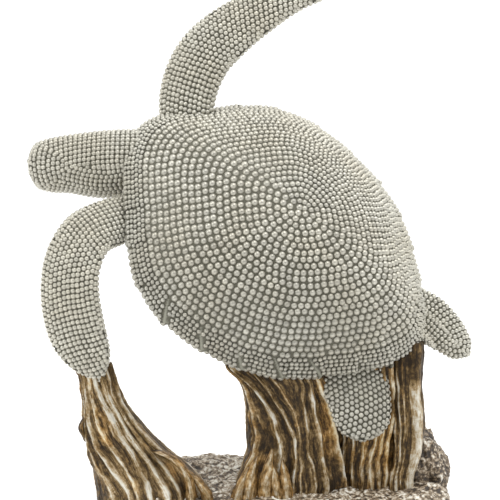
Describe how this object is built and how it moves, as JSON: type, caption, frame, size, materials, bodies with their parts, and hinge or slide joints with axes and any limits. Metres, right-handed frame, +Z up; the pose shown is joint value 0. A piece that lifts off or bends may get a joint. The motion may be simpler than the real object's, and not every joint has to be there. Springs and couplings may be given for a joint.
{
  "type": "turtle statuette",
  "caption": "Cast tabletop figure of a beaded sea turtle banking over a rock, held up by fluted stems.",
  "frame": {"origin": "on the surface that the rock stands on, below the middle of the whole piece", "axes": "+Z up; the turtle swims towards -X and turns its back to -Y, the side it is seen from"},
  "size_m": [0.2591, 0.1103, 0.3026],
  "materials": {
    "beaded_cast": "glossy champagne-silver paint over a beaded surface",
    "rock_cast": "cast resin washed in brown, dry-brushed in silver and gold on its ridges"
  },
  "bodies": {
    "root": {"turtle": "beaded_cast", "base": "rock_cast"}
  },
  "joints": []
}
